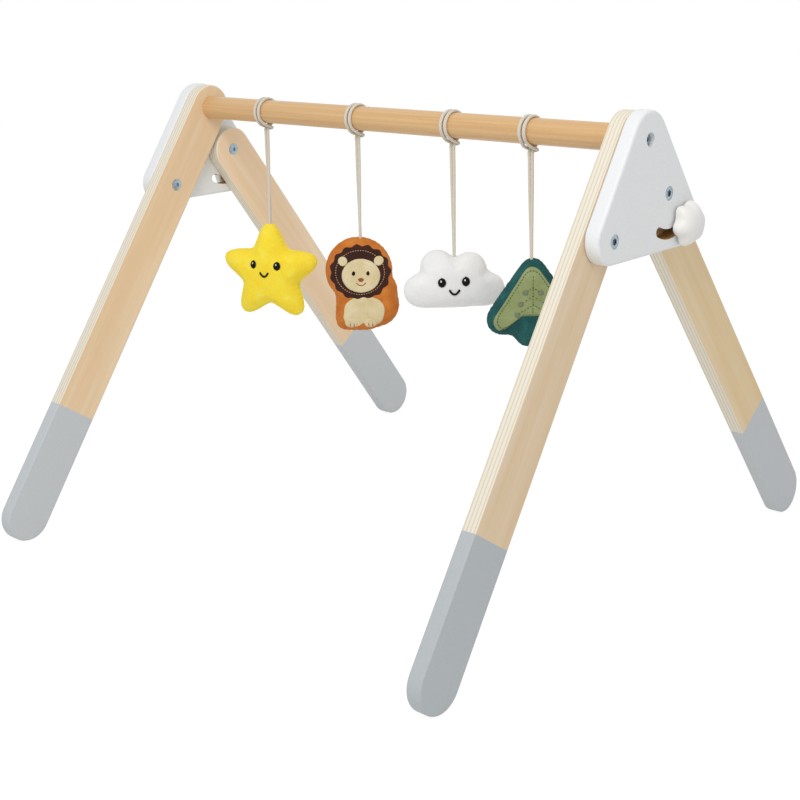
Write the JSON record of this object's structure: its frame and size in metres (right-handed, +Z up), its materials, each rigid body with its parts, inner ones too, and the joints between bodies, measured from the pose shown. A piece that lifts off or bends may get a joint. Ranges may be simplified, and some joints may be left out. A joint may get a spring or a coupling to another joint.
{
  "type": "activity play gym",
  "caption": "Free-standing wooden play gym: folding plywood A-frames with white end plates, a dowel crossbar, clamp knobs, and soft toys hung on hitched cords.",
  "frame": {"origin": "on the floor, midway between the front and rear feet and between the two ends", "axes": "+X along the crossbar, +Y towards the rear legs, +Z up"},
  "size_m": [0.6486, 0.6128, 0.4556],
  "materials": {
    "plywood": "clear matt lacquer on birch plywood, with the feet painted grey",
    "beech": "clear satin lacquer",
    "white_paint": "white satin paint",
    "zinc_steel": "bright zinc plate",
    "knob_plastic": "moulded, fine matt",
    "cotton_cord": "woven cotton cord",
    "star_plush": "short-pile velboa plush",
    "lion_plush": "short-pile plush",
    "cloud_plush": "short-pile plush",
    "tree_plush": "short-pile plush"
  },
  "bodies": {
    "frame": {"crossbar": "beech", "left_side_plate": "white_paint", "left_front_leg": "plywood", "left_bar_bolt": "zinc_steel", "left_bar_insert": "zinc_steel", "left_leg_bolt": "zinc_steel", "left_leg_sleeve_nut": "zinc_steel", "left_pivot_bolt": "zinc_steel", "left_pivot_sleeve_nut": "zinc_steel", "right_side_plate": "white_paint", "right_front_leg": "plywood", "right_bar_bolt": "zinc_steel", "right_bar_insert": "zinc_steel", "right_leg_bolt": "zinc_steel", "right_leg_sleeve_nut": "zinc_steel", "right_pivot_bolt": "zinc_steel", "right_pivot_sleeve_nut": "zinc_steel"},
    "left_leg_fold": {"left_rear_leg": "plywood", "left_leg_insert": "zinc_steel"},
    "left_washer_lift": {"left_clamp_washer": "zinc_steel"},
    "left_knob_turn": {"left_clamp_knob": "knob_plastic", "left_knob_stud": "zinc_steel"},
    "right_leg_fold": {"right_rear_leg": "plywood", "right_leg_insert": "zinc_steel"},
    "right_washer_lift": {"right_clamp_washer": "zinc_steel"},
    "right_knob_turn": {"right_clamp_knob": "knob_plastic", "right_knob_stud": "zinc_steel"},
    "star_loop": {"star_hitch": "cotton_cord"},
    "star_hanger": {"star_strand_a": "cotton_cord", "star_strand_b": "cotton_cord", "star_toy": "star_plush"},
    "lion_loop": {"lion_hitch": "cotton_cord"},
    "lion_hanger": {"lion_strand_a": "cotton_cord", "lion_strand_b": "cotton_cord", "lion_toy": "lion_plush"},
    "cloud_loop": {"cloud_hitch": "cotton_cord"},
    "cloud_hanger": {"cloud_strand_a": "cotton_cord", "cloud_strand_b": "cotton_cord", "cloud_toy": "cloud_plush"},
    "tree_loop": {"tree_hitch": "cotton_cord"},
    "tree_hanger": {"tree_strand_a": "cotton_cord", "tree_strand_b": "cotton_cord", "tree_toy": "tree_plush"}
  },
  "joints": [
    {"name": "left_rear_leg_fold", "type": "hinge", "parent": "frame", "child": "left_leg_fold", "pos_m": [-0.2828, 0.01993, 0.37885], "axis": [-1, 0, 0], "range_deg": [0, 65]},
    {"name": "left_washer_travel", "type": "slide", "parent": "left_leg_fold", "child": "left_washer_lift", "axis": [-1, 0, 0], "range_m": [0, 0.002]},
    {"name": "left_knob_screw", "type": "hinge", "parent": "left_washer_lift", "child": "left_knob_turn", "pos_m": [-0.3078, 0.04163, 0.34949], "axis": [-1, 0, 0], "range_deg": [0, 720]},
    {"name": "right_rear_leg_fold", "type": "hinge", "parent": "frame", "child": "right_leg_fold", "pos_m": [0.2828, 0.01993, 0.37885], "axis": [-1, 0, 0], "range_deg": [0, 65]},
    {"name": "right_washer_travel", "type": "slide", "parent": "right_leg_fold", "child": "right_washer_lift", "axis": [1, 0, 0], "range_m": [0, 0.002]},
    {"name": "right_knob_screw", "type": "hinge", "parent": "right_washer_lift", "child": "right_knob_turn", "pos_m": [0.3078, 0.04163, 0.34949], "axis": [1, 0, 0], "range_deg": [0, 720]},
    {"name": "star_slide", "type": "slide", "parent": "frame", "child": "star_loop", "axis": [1, 0, 0], "range_m": [-0.035, 0.025]},
    {"name": "star_swing", "type": "hinge", "parent": "star_loop", "child": "star_hanger", "pos_m": [-0.184, -0.01053, 0.40439], "axis": [1, 0, 0], "range_deg": [-60, 60]},
    {"name": "lion_slide", "type": "slide", "parent": "frame", "child": "lion_loop", "axis": [1, 0, 0], "range_m": [-0.026, 0.026]},
    {"name": "lion_swing", "type": "hinge", "parent": "lion_loop", "child": "lion_hanger", "pos_m": [-0.047, -0.01053, 0.40439], "axis": [1, 0, 0], "range_deg": [-60, 60]},
    {"name": "cloud_slide", "type": "slide", "parent": "frame", "child": "cloud_loop", "axis": [1, 0, 0], "range_m": [-0.026, 0.009]},
    {"name": "cloud_swing", "type": "hinge", "parent": "cloud_loop", "child": "cloud_hanger", "pos_m": [0.0805, -0.01053, 0.40439], "axis": [1, 0, 0], "range_deg": [-60, 60]},
    {"name": "tree_slide", "type": "slide", "parent": "frame", "child": "tree_loop", "axis": [1, 0, 0], "range_m": [-0.009, 0.058]},
    {"name": "tree_swing", "type": "hinge", "parent": "tree_loop", "child": "tree_hanger", "pos_m": [0.1755, -0.01053, 0.40439], "axis": [1, 0, 0], "range_deg": [-60, 60]}
  ],
  "couplings": [
    {"joint": "left_washer_travel", "follows": "left_knob_screw", "m_per_rad": 0.000159},
    {"joint": "right_washer_travel", "follows": "right_knob_screw", "m_per_rad": 0.000159}
  ]
}
